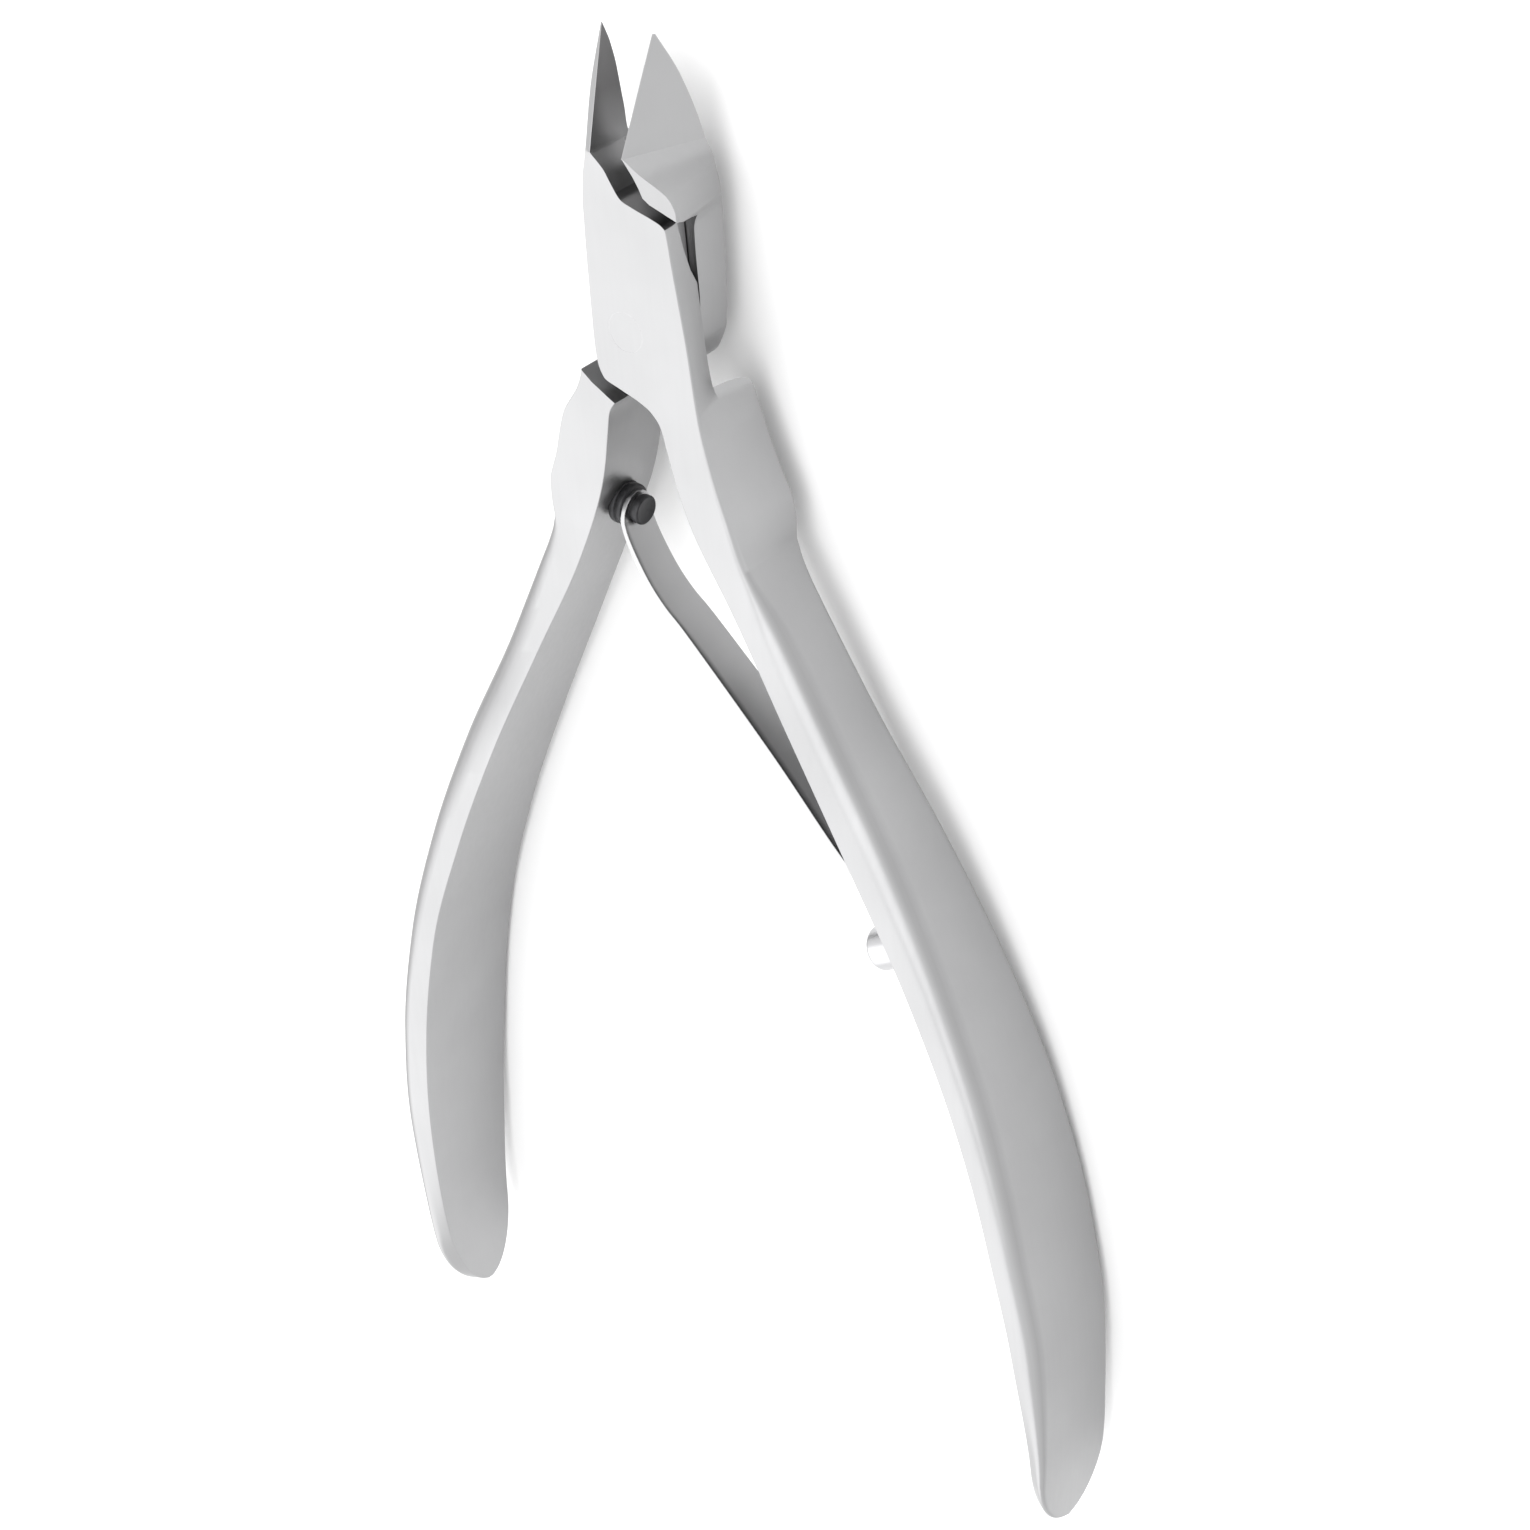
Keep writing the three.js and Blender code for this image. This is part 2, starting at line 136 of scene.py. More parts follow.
INNER_DEPTH = [
    (0, JOINT_HALF), (-15, 3.25), (-21, 3.1), (-30, 3.7), (-40, 4.3), (-50, 4.55), (-60, 4.9),
    (-70, 4.95), (-80, 4.6), (-91, 3.7), (END_Y, 3.1),
]
OUTER_DEPTH = [
    (0, JOINT_HALF), (-15, 3.3), (-21, 3.1), (-30, 3.4), (-40, 3.9), (-50, 4.5), (-60, 4.95),
    (-70, 5.28), (-80, 4.95), (-91, 4.45), (END_Y, 4.1),
]
OUTER_ROUND = [
    (TIP_Y, 0.02), (HEEL_Y, 0.06), (-5, 0.15), (-14, 0.5), (-18, 0.8), (-23, 1.8), (-30, 2.0), (-60, 1.9),
    (-80, 1.6), (-91, 0.9), (END_Y, 0.5),
]
BAND_ACROSS = [
    (TIP_Y, 0.02), (HEEL_Y, 0.06), (-5, 0.15), (-14, 0.2), (-17.6, 0.3), (-18.4, 0.9), (-19.3, 1.4),
    (-20.9, 1.9), (-24.4, 2.1), (-30, 2.2), (-40, 2.3), (-50, 2.1), (-60, 1.8), (-80, 1.4),
    (-91, 0.9), (END_Y, 0.5),
]
BAND_DOWN = [
    (TIP_Y, 0.02), (HEEL_Y, 0.06), (-5, 0.15), (-14, 0.15), (-17.6, 0.15), (-18.4, 0.4), (-19.3, 0.6),
    (-20.9, 0.75), (-24.4, 0.85), (-40, 1.0), (-60, 0.9), (-80, 0.8), (-91, 0.6), (END_Y, 0.5),
]
BAND_FLAT = [
    (TIP_Y, 0.0), (-17, 0.0), (-18.4, 0.8), (-26, 0.8), (-33, 0.5), (-60, 0.4), (-80, 0.2), (END_Y, 0.0),
]
EDGE_X = [(TIP_Y, EDGE_SLOPE * TIP_Y), (HEEL_Y, EDGE_SLOPE * HEEL_Y)]
B_INNER_X = [(TIP_Y, EDGE_SLOPE * TIP_Y), (19, 2.05), (17, 1.9), (15.2, 1.92), (HEEL_Y, 2.14)]
EDGE_Z = [(TIP_Y, TIP_Z), (HEEL_Y, HEEL_Z), (JAW_FOOT_Y, JOINT_HALF), (0, JOINT_HALF)]
BEVEL_Z = [(TIP_Y, TIP_Z - 0.05), (HEEL_Y, HEEL_Z - 0.15), (JAW_FOOT_Y, JOINT_HALF), (0, JOINT_HALF)]
JAW_BACK_X = [(TIP_Y, 2.55), (19.4, 3.56), (15.7, 4.3), (HEEL_Y, 4.4)]
JAW_BACK_Z = [
    (TIP_Y, -0.5), (19.4, -1.6), (15.7, -2.4), (HEEL_Y, -2.8), (12.2, -JOINT_HALF), (0, -JOINT_HALF),
]
THROAT_BACK_Z = [
    (TIP_Y, -0.4), (21, -0.85), (19, -1.05), (16.5, -1.0), (HEEL_Y, -0.55), (JAW_FOOT_Y, -JOINT_HALF),
    (0, -JOINT_HALF),
]
PLATE_FRONT_X = [(11, 4.7), (9.1, 4.9), (8.5, 4.96)]
PLATE_LAP_X = [
    (11, 4.55), (9.1, 4.62), (3.7, 4.7), (0.3, 4.83), (-1.6, 4.9), (-4.6, 5.23), (-6, 6.0), (-7.5, 6.75),
    (-9.5, 7.9),
]


def mirrored(points):
    return [(y, -value) for y, value in points]


FRONT_TOP = [(12.85, -0.5), (11.8, 0.1), (10.75, 0.85), (10.25, 2.2), (9.85, 3.6), (9.5, 4.5), (9.1, 4.9)]
FRONT_FOOT = [(-3, -3.15), (-4.3, -2.65), (-4.9, -1.15), (-5.5, 0.5), (-6.1, 1.6), (-7.2, 2.45)]
BACK_TOP = [
    (12.3, 0.9), (10.6, 0.3), (9.6, -0.5), (8.9, -1.6), (7.9, -3.0), (7.2, -3.7), (3.1, -4.3), (-0.1, -4.55),
]
PLATE_SIDE = [(6.2, 5.2), (-0.1, 5.85)]
BACK_FOOT = [
    (2.7, 4.75), (-0.6, 4.4), (-2.7, 3.5), (-3.4, 2.9), (-3.75, 2.3), (-4.4, 1.1), (-5.2, -0.5), (-6, -1.6),
    (-7.2, -2.45),
]
FRONT_HALF = {
    "front_left": mirrored([(TIP_Y, 2.5), (19.4, 2.55), (HEEL_Y, 2.05)])
    + [(11.6, -2.7), (9.2, -2.95), (2, -3.2), (-1.4, -3.25)] + FRONT_FOOT + HANDLE_INNER,
    "front_right": mirrored(EDGE_X) + FRONT_TOP + PLATE_SIDE + [(-5.7, 6.3)] + PLAIN_SIDE + HANDLE_OUTER,
    "back_right": mirrored([(TIP_Y, EDGE_SLOPE * TIP_Y), (17, 1.75), (15.2, 1.4), (HEEL_Y, 1.0)])
    + [(12.85, -0.3), (11.8, 0.2)] + FRONT_TOP[2:] + PLATE_SIDE + [(-5.5, 6.5)] + BAND_SIDE,
    "back_left": mirrored(JAW_BACK_X)
    + [(12.2, -4.0), (9.2, -3.3), (2, -3.2), (-1.4, -3.25)] + FRONT_FOOT + HANDLE_INNER,
    "edge_on_right": True,
}
BACK_HALF = {
    "front_left": EDGE_X + BACK_TOP + [(-4.1, -4.9), (-5.5, -5.4)] + mirrored(BAND_SIDE),
    "front_right": [
        (TIP_Y, 2.42), (HEEL_Y, 1.56), (13.2, 2.85), (12.3, 4.75), (11.95, 5.35), (11.35, 5.84), (10.6, 6.1),
        (9.85, 6.1), (9.3, 5.6), (8.7, 5.0), (8, 4.68), (6, 4.62),
    ] + BACK_FOOT + mirrored(HANDLE_INNER),
    "back_right": JAW_BACK_X + [(12.2, 4.7), (9.9, 5.05), (6, 4.9)] + BACK_FOOT + mirrored(HANDLE_INNER),
    "back_left": B_INNER_X + BACK_TOP + [(-4.1, -4.9)] + mirrored(PLAIN_SIDE) + mirrored(HANDLE_OUTER),
    "edge_on_right": False,
}
FRONT_RECESS = [
    (-9, 9.6), (-4.7, 10.6), (-3.65, 10.95), (-3.05, 11.35), (-2.75, 12.05), (-2.3, 12.8), (-1.49, 14.1),
    (9, 14.1), (9, -1.2), (6.4, -3.52), (5.23, -4.57), (3.9, -5.3), (2.45, -6.2), (1.3, -6.9), (-9, -11),
]
BACK_RECESS = [
    (9, 9.3), (6.1, 10.1), (4.7, 10.6), (3.65, 10.95), (3.05, 11.35), (2.75, 12.05), (2.33, 12.8),
    (1.53, 14.1), (-9, 14.1), (-9, -1.2), (-4.9, -4.1), (-3.9, -4.95), (-2.45, -5.85), (-1.1, -6.65),
    (9, -11),
]
# The back recess's throat wall leans: this is its outline at the front face and at the lap, point for point.
BACK_WALL_FRONT = BACK_RECESS[:2] + [(6.05, 10.12), (5.7, 10.25), (5.3, 10.38)] + BACK_RECESS[2:]
BACK_WALL_LAP = (
    [(9, 7.5), (6.05, 8.3), (6.0, 8.75), (5.7, 9.05), (5.3, 9.25), (4.75, 9.5)] + BACK_RECESS[3:6]
    + [(2.65, 12.9), (2.16, 14.1)] + BACK_RECESS[8:]
)
HOLLOW = [
    (11.5, -1), (11.5, 1.72), (9.2, 1.7), (8.65, 1.65), (6.9, 1.33), (5.1, 0.79), (3.75, 0.05), (3.75, -1),
]
SHOULDER = [
    (-3.52, 0.04), (-3.76, -1.18), (-4.23, -2.32), (-4.61, -2.74), (-4.98, -2.97), (-5.43, -3.1),
    (-6.18, -3.2), (-7.5, -3.4), (-7.5, -9), (0, -9), (0, 0.04),
]


# ---- shape helpers ----
def rail(points, y):
    """A rail's value at each y: one curve below the heel of the jaws, another above it."""
    points = sorted(points)
    jaw = [p for p in points if p[0] >= HEEL_Y]
    if len(jaw) < 2:
        return curve(points, y)
    return np.where(y > HEEL_Y, curve(jaw, y), curve([p for p in points if p[0] <= HEEL_Y], y))


def curve(points, y):
    """Monotone cubic through the (y, value) points, for an array of y."""
    knots = np.array([p[0] for p in points], float)
    values = np.array([p[1] for p in points], float)
    slopes = np.diff(values) / np.diff(knots)
    tangents = np.zeros(len(knots))
    tangents[0], tangents[-1] = slopes[0], slopes[-1]
    same_way = slopes[:-1] * slopes[1:] > 0
    total = np.where(same_way, slopes[:-1] + slopes[1:], 1.0)
    tangents[1:-1] = np.where(same_way, 2 * slopes[:-1] * slopes[1:] / total, 0.0)
    y = np.clip(y, knots[0], knots[-1])
    i = np.clip(np.searchsorted(knots, y, side="right") - 1, 0, len(knots) - 2)
    span = knots[i + 1] - knots[i]
    t = (y - knots[i]) / span
    rise = t * t * (3 - 2 * t)
    lead = t * (1 - t) ** 2 * tangents[i] * span
    trail = t * t * (t - 1) * tangents[i + 1] * span
    return values[i] * (1 - rise) + values[i + 1] * rise + lead + trail


def place(points):
    """Millimetres around the pivot to metres in the frame."""
    return np.asarray(points, float) * MM + np.array(PIVOT)


def mesh_object(name, points, faces):
    mesh = bpy.data.meshes.new(name)
    mesh.from_pydata([tuple(p) for p in points], [], faces)
    mesh.validate()
    mesh.update()
    made = bpy.data.objects.new(name, mesh)
    bpy.context.scene.collection.objects.link(made)
    return made


def loft(name, rings):
    """Joins rings of equal length into one closed body."""
    rings = np.asarray(rings)
    count = rings.shape[1]
    faces = []
    for r in range(len(rings) - 1):
        for i in range(count):
            j = (i + 1) % count
            faces.append((r * count + i, r * count + j, (r + 1) * count + j, (r + 1) * count + i))
    faces.append(tuple(range(count))[::-1])
    faces.append(tuple(range((len(rings) - 1) * count, len(rings) * count)))
    return mesh_object(name, place(rings.reshape(-1, 3)), faces)


def recess_cutter(outline, low_outline, low, high):
    """A lap recess whose throat wall leans: low_outline at the lap, outline from the front face up."""
    rings = []
    for z, shape in ((low, low_outline), (JOINT_HALF, outline), (high, outline)):
        rings.append([(x, y, z) for x, y in shape])
    made = loft("recess", rings)
    fix_normals(made)
    return made


def joined_ends(name, near, far):
    """A closed body between two outlines that match point for point."""
    count = len(near)
    faces = [tuple(range(count)), tuple(range(2 * count - 1, count - 1, -1))]
    for i in range(count):
        j = (i + 1) % count
        faces.append((i, i + count, j + count, j))
    made = mesh_object(name, place(near + far), faces)
    fix_normals(made)
    return made


def prism(name, outline, low, high):
    """A prism along z over an (x, y) outline."""
    return joined_ends(name, [(x, y, low) for x, y in outline], [(x, y, high) for x, y in outline])


def side_prism(name, outline, left, right, lean=0.0):
    """A prism along x over a (y, z) outline; lean shifts its right end up in y."""
    rise = lean * (right - left)
    return joined_ends(name, [(left, y, z) for y, z in outline], [(right, y + rise, z) for y, z in outline])


def fix_normals(made):
    bm = bmesh.new()
    bm.from_mesh(made.data)
    bmesh.ops.recalc_face_normals(bm, faces=bm.faces)
    bm.to_mesh(made.data)
    bm.free()


def turned(name, profile, seat, angle, sides=TURNED_SIDES, upright=False):
    """A turned piece from (radius, height) points, its axis in the lap plane or upright."""
    rings = []
    for radius, height in profile:
        turn = np.linspace(0, 2 * math.pi, sides, endpoint=False)
        across = radius * np.cos(turn)
        up = radius * np.sin(turn)
        if upright:
            rings.append(np.stack([seat[0] + across, seat[1] + up, np.full(sides, height)], 1))
            continue
        x = seat[0] + height * math.cos(angle) - across * math.sin(angle)
        y = seat[1] + height * math.sin(angle) + across * math.cos(angle)
        rings.append(np.stack([x, y, up], 1))
    made = loft(name, rings)
    fix_normals(made)
    return made


def cut(body, cutter):
    """Takes the cutter's shape out of the body, for good."""
    modifier = body.modifiers.new("cut", "BOOLEAN")
    modifier.operation = "DIFFERENCE"
    modifier.solver = "EXACT"
    modifier.object = cutter
    bpy.context.view_layer.update()
    done = bpy.data.meshes.new_from_object(body.evaluated_get(bpy.context.evaluated_depsgraph_get()))
    body.modifiers.remove(modifier)
    body.data = done
    bpy.data.objects.remove(cutter)


def smooth(made, angle=24):
    made.data.shade_smooth()
    made.data.set_sharp_from_angle(angle=math.radians(angle))


# ---- the two halves ----
def section_rings(half, y):
    """Rounded four-cornered sections of a half at each y."""
    left_front = rail(half["front_left"], y)
    right_front = rail(half["front_right"], y)
    right_back = rail(half["back_right"], y)
    left_back = rail(half["back_left"], y)
    edge, bevel = rail(EDGE_Z, y), rail(BEVEL_Z, y)
    outer_back, inner_back = rail(JAW_BACK_Z, y), rail(THROAT_BACK_Z, y)
    inner = rail(INNER_DEPTH, y) * end_close(y, INNER_END_ROUND)
    outer = rail(OUTER_DEPTH, y) * end_close(y, OUTER_END_ROUND)
    right = half["edge_on_right"]
    jaw = [bevel, edge, inner_back, outer_back] if right else [edge, bevel, outer_back, inner_back]
    bar = [inner, outer, -outer, -inner] if right else [outer, inner, -inner, -outer]
    heights = [np.where(y < 0, b, a) for a, b in zip(jaw, bar)]
    soft = rail(OUTER_ROUND, y)
    sharp = np.minimum(soft, SHARP)
    crisp, plain = (sharp, sharp, 0 * y), (soft, soft, 0 * y)
    band = (rail(BAND_ACROSS, y), rail(BAND_DOWN, y), curve(BAND_FLAT, y))
    shapes = [crisp, plain, band, crisp] if right else [band, crisp, crisp, plain]
    corners = [
        np.stack([x, y, z], 1) for x, z in zip((left_front, right_front, right_back, left_back), heights)
    ]
    return rounded(corners, shapes)


def end_close(y, reach):
    """How far a handle's depth has closed in, 1 until the given reach before its end."""
    into = np.maximum(0, END_Y + reach - y) / reach
    return np.sqrt(np.maximum(END_FLAT, 1 - into * into))


def rounded(corners, shapes):
    """Rounds each corner by (reach across, reach down the side, how flat the rounding is)."""
    points = []
    for i, corner in enumerate(corners):
        across, down, flat = shapes[i]
        if i % 2:
            reach_before, reach_after = across, down
        else:
            reach_before, reach_after = down, across
        start = part_way(corner, corners[i - 1], reach_before)
        end = part_way(corner, corners[(i + 1) % len(corners)], reach_after)
        pull = (corner * (1 - flat)[:, None]) + (start + end) * (flat / 2)[:, None]
        for step in range(ARC_STEPS + 1):
            t = step / ARC_STEPS
            points.append(start * (1 - t) ** 2 + pull * (2 * t * (1 - t)) + end * t * t)
    return np.stack(points, 1)


def part_way(corner, towards, reach):
    """A point the given reach from the corner, but never past its share of the side."""
    along = towards - corner
    length = np.linalg.norm(along, axis=1)
    share = np.where(reach > SHARP, SOFT_SHARE, CRISP_SHARE)
    return corner + along * (np.minimum(reach, share * length) / length)[:, None]


def half_stations():
    runs = [
        np.linspace(END_Y, -91, 40), np.linspace(-91, -21, 141), np.linspace(-21, -8, 53),
        np.linspace(-8, -2.5, 56), np.linspace(-2.5, 8.5, 34), np.linspace(8.5, 13.5, 51),
        np.linspace(13.5, TIP_Y, 62),
    ]
    return np.unique(np.round(np.concatenate(runs), 4))


def make_half(name, half, recess):
    made = loft(name, section_rings(half, half_stations()))
    fix_normals(made)
    cut(made, recess)
    bore = RIVET_RADIUS + BORE_GAP
    cut(made, turned("bore", [(bore, -9), (bore, 9)], (0, 0), 0, upright=True))
    return made


def detail_front(made):
    """The leaning side of the plate, the hollow beside it, and the falling shoulder behind it."""
    cut(made, plate_side())
    cut(made, side_prism("hollow", HOLLOW, 4.0, 8))
    drop = SHOULDER_LEAN * (SHOULDER_PIN_X - SHOULDER_START)
    lowered = [(y - drop, z) for y, z in SHOULDER]
    cut(made, side_prism("shoulder", lowered, SHOULDER_START, 9, SHOULDER_LEAN))


def plate_side():
    """The cutter that leans the plate's right side in towards the lap, fading out below the shoulder."""
    top = JOINT_HALF + SIDE_EASE
    rings = []
    for y in np.linspace(-9.5, 11, 42):
        at = np.array([y])
        front_rail = FRONT_HALF["front_right"] if y < 8.5 else PLATE_FRONT_X
        front = float(rail(front_rail, at)[0])
        back = float(rail(FRONT_HALF["back_right"], at)[0])
        lap = float(rail(PLATE_LAP_X, at)[0])
        rings.append([
            (front + SIDE_EASE, y, top), (lap, y, 0.0), (back + SIDE_EASE, y, -top),
            (12, y, -top), (12, y, top),
        ])
    made = loft("plate_side", rings)
    fix_normals(made)
    return made


def detail_back(made):
    """The screw's hole and its spot face."""
    cut(made, turned("screw_hole", [(SCREW_HOLE, -2.7), (SCREW_HOLE, 2)], SCREW_SEAT, SCREW_TILT))
    cut(made, turned("spot_face", [(SPOT_FACE, -0.02), (SPOT_FACE, 3)], SCREW_SEAT, SCREW_TILT))


def shade_halves(made, side):
    """How much painted shade each face corner gets, 0 to 1; side is -1 for the left jaw, 1 for the right."""
    mesh = made.data
    rounding = [rounding_shade(v, side) for v in mesh.vertices]
    values = np.zeros(len(mesh.loops))
    for face in mesh.polygons:
        flat = face_shade(face, side)
        for loop in face.loop_indices:
            vertex = mesh.loops[loop].vertex_index
            height = (mesh.vertices[vertex].co.y - PIVOT.y) / MM
            # the painted shade is weaker between 11.2 and 18 mm up the throat, where the throat's own shade
            # already falls
            fade = 0.45 + 0.55 * ramp(height, 14.2, 18.0) if height > 11.2 else 1.0
            values[loop] = flat * fade if flat > 0.5 else max(flat, rounding[vertex])
    mesh.attributes.new("painted_shade", "FLOAT", "CORNER").data.foreach_set("value", values)


def face_shade(face, side):
    """Painted shade: full on the jaws' hollowed inner faces and the throat, a little on the facet beside the
    throat.
    """
    at = (face.center - PIVOT) / MM
    facing = Vector((-side * 0.6, 0.8, 0)).dot(face.normal)
    inner = at.y > 8.8 and abs(face.normal.z) < 0.3 and facing > 0.5
    outer = -side * at.x > 3.5 and abs(face.normal.x) > 0.8
    if inner and not outer:
        return 1.0
    facet = side == 1 and at.y > 8.5 and face.normal.z > 0.9
    return 0.2 if facet else 0.0


def rounding_shade(vertex, side):
    """Painted shade on the satin rounding of a handle's outer front edge, darker where it leans away."""
    at = (vertex.co - PIVOT) / MM
    handle = -side
    if at.y > -17.6 or at.z < 0.5 or vertex.normal.x * handle < 0.1:
        return 0.0
    lean = math.degrees(math.acos(min(1.0, max(0.0, vertex.normal.z))))
    if side == 1:
        return 0.62 * ramp(lean, 6, 18)
    return 0.35 * ramp(lean, 48, 68) * (1 - ramp(lean, 78, 90))


def ramp(value, low, high):
    return min(1.0, max(0.0, (value - low) / (high - low)))


# ---- materials ----
def node_material(name):
    material = bpy.data.materials.new(name)
    material.use_nodes = True
    tree = material.node_tree
    return material, tree, tree.nodes["Principled BSDF"]


def satin_steel(name, tint, rough=0.34, shade_colour=0.15):
    """Brushed steel; an attribute of painted shade takes its colour towards the shade colour."""
    material, tree, shader = node_material(name)
    nodes, links = tree.nodes, tree.links
    shader.inputs["Metallic"].default_value = 1.0
    where = nodes.new("ShaderNodeTexCoord")
    stretch = nodes.new("ShaderNodeMapping")
    stretch.inputs["Scale"].default_value = (3000, 90, 3000)
    links.new(where.outputs["Object"], stretch.inputs["Vector"])
    grain = nodes.new("ShaderNodeTexNoise")
    grain.inputs["Scale"].default_value = 1.0
    grain.inputs["Detail"].default_value = 4.0
    links.new(stretch.outputs["Vector"], grain.inputs["Vector"])
    cloud = nodes.new("ShaderNodeTexNoise")
    cloud.inputs["Scale"].default_value = 90.0
    cloud.inputs["Detail"].default_value = 3.0
    links.new(where.outputs["Object"], cloud.inputs["Vector"])
    colour = nodes.new("ShaderNodeValToRGB")
    colour.color_ramp.elements[0].position = 0.3
    colour.color_ramp.elements[1].position = 0.7
    colour.color_ramp.elements[0].color = (*[c * 0.95 for c in tint], 1)
    colour.color_ramp.elements[1].color = (*[min(1, c * 1.03) for c in tint], 1)
    links.new(cloud.outputs["Fac"], colour.inputs["Fac"])
    painted_shade = nodes.new("ShaderNodeAttribute")
    painted_shade.attribute_name = "painted_shade"
    # mixes the painted shade colour into the steel where the attribute asks for it
    shade_mix = nodes.new("ShaderNodeMix")
    shade_mix.data_type = "RGBA"
    shade_mix.inputs["B"].default_value = (shade_colour, shade_colour * 0.99, shade_colour, 1)
    links.new(painted_shade.outputs["Fac"], shade_mix.inputs["Factor"])
    links.new(colour.outputs["Color"], shade_mix.inputs["A"])
    links.new(add_wear(tree, shade_mix.outputs["Result"], tint), shader.inputs["Base Color"])
    add_roughness(tree, shader, grain, rough - 0.05, rough + 0.07)
    add_bump(tree, shader, grain, 0.08, 0.00002)
    return material


def add_wear(tree, base, tint):
    """Brightens the sharp edges, found where a small bevel would turn the surface."""
    nodes, links = tree.nodes, tree.links
    shape = nodes.new("ShaderNodeNewGeometry")
    edge = nodes.new("ShaderNodeBevel")
    edge.samples = 4
    edge.inputs["Radius"].default_value = 0.00008
    turned_away = nodes.new("ShaderNodeVectorMath")
    turned_away.operation = "DOT_PRODUCT"
    links.new(shape.outputs["Normal"], turned_away.inputs[0])
    links.new(edge.outputs["Normal"], turned_away.inputs[1])
    worn = nodes.new("ShaderNodeMapRange")
    worn.inputs["From Min"].default_value = 0.98
    worn.inputs["From Max"].default_value = 0.85
    links.new(turned_away.outputs["Value"], worn.inputs["Value"])
    wear = nodes.new("ShaderNodeMix")
    wear.data_type = "RGBA"
    wear.inputs["B"].default_value = (*[min(1, c * 1.18) for c in tint], 1)
    links.new(worn.outputs["Result"], wear.inputs["Factor"])
    links.new(base, wear.inputs["A"])
    return wear.outputs["Result"]


def add_roughness(tree, shader, pattern, low, high):
    roughness = tree.nodes.new("ShaderNodeMapRange")
    roughness.inputs["To Min"].default_value = low
    roughness.inputs["To Max"].default_value = high
    tree.links.new(pattern.outputs["Fac"], roughness.inputs["Value"])
    tree.links.new(roughness.outputs["Result"], shader.inputs["Roughness"])


def add_bump(tree, shader, pattern, strength, distance):
    bump = tree.nodes.new("ShaderNodeBump")
    bump.inputs["Strength"].default_value = strength
    bump.inputs["Distance"].default_value = distance
    tree.links.new(pattern.outputs["Fac"], bump.inputs["Height"])
    tree.links.new(bump.outputs["Normal"], shader.inputs["Normal"])


def black_oxide(name):
    material, tree, shader = node_material(name)
    nodes, links = tree.nodes, tree.links
    shader.inputs["Metallic"].default_value = 0.6
    where = nodes.new("ShaderNodeTexCoord")
    speck = nodes.new("ShaderNodeTexNoise")
    speck.inputs["Scale"].default_value = 2200.0
    speck.inputs["Detail"].default_value = 3.0
    links.new(where.outputs["Object"], speck.inputs["Vector"])
    colour = nodes.new("ShaderNodeValToRGB")
    colour.color_ramp.elements[0].color = (0.012, 0.012, 0.013, 1)
    colour.color_ramp.elements[1].color = (0.05, 0.05, 0.053, 1)
    links.new(speck.outputs["Fac"], colour.inputs["Fac"])
    links.new(colour.outputs["Color"], shader.inputs["Base Color"])
    add_roughness(tree, shader, speck, 0.32, 0.55)
    add_bump(tree, shader, speck, 0.25, 0.00003)
    return material


def finish_piece(made, material, body, slot, *replaced):
    made.data.materials.clear()
    made.data.materials.append(material)
    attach(made, body)
    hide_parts(*replaced)


# ---- small pieces ----
def make_rivet():
    profile = [
        (AXIS_RADIUS, -JOINT_HALF), (RIVET_RADIUS, -JOINT_HALF), (RIVET_RADIUS, JOINT_HALF),
        (AXIS_RADIUS, JOINT_HALF),
    ]
    return turned("rivet", profile, (0, 0), 0, upright=True)


def make_screw():
    profile = [
        (AXIS_RADIUS, -2.6), (0.7, -2.6), (0.7, 1.5), (1.0, 1.56), (1.0, 1.8), (1.1, 1.83), (1.17, 1.88),
        (1.18, 1.95), (1.18, 2.3), (1.15, 2.37), (1.09, 2.41), (1.02, 2.42), (0.94, 2.38),
        (AXIS_RADIUS, 2.38),
    ]
    return turned("screw", profile, SCREW_SEAT, SCREW_TILT)


def make_washer():
    profile = [
        (0.72, 0), (1.6, 0), (1.68, 0.06), (1.7, 0.15), (1.7, 0.42), (1.66, 0.5), (1.58, 0.54), (1.58, 0.62),
        (1.66, 0.66), (1.7, 0.74), (1.7, 1.05), (1.66, 1.15), (1.56, 1.2), (0.72, 1.2), (0.72, 0),
    ]
    return turned("washer", profile, SCREW_SEAT, SCREW_TILT)


def make_stud():
    profile = [
        (AXIS_RADIUS, -1.6), (0.9, -1.6), (0.9, 0.05), (1.8, 0.05), (1.8, 4.6), (1.76, 4.8), (1.62, 4.93),
        (1.45, 4.98), (1.3, 4.95), (1.2, 4.85), (AXIS_RADIUS, 4.85),
    ]
    return turned("stud", profile, STUD_FOOT, STUD_TURN)


def leaf_line():
    """The leaf's middle line: a flat tab under the screw, then the run down to the other handle."""
    along = np.array([math.sin(SCREW_TILT), -math.cos(SCREW_TILT)])
    tab = np.array(SCREW_SEAT) + TAB_REACH * np.array([math.cos(SCREW_TILT), math.sin(SCREW_TILT)])
    run = [
        (-3.82, -17.7), (-3.45, -18.9), (-2.65, -20.6), (-1.6, -22.35), (-0.3, -23.9), (1.85, -25.95),
        (9.2, -33.8), (14.7, -40.2), (18.2, -43.6),
    ]
    flat = [tab - TAB_LENGTH * along, tab - TAB_HALF * along, tab + TAB_HALF * along]
    return np.array(flat + [np.array(p) for p in run])


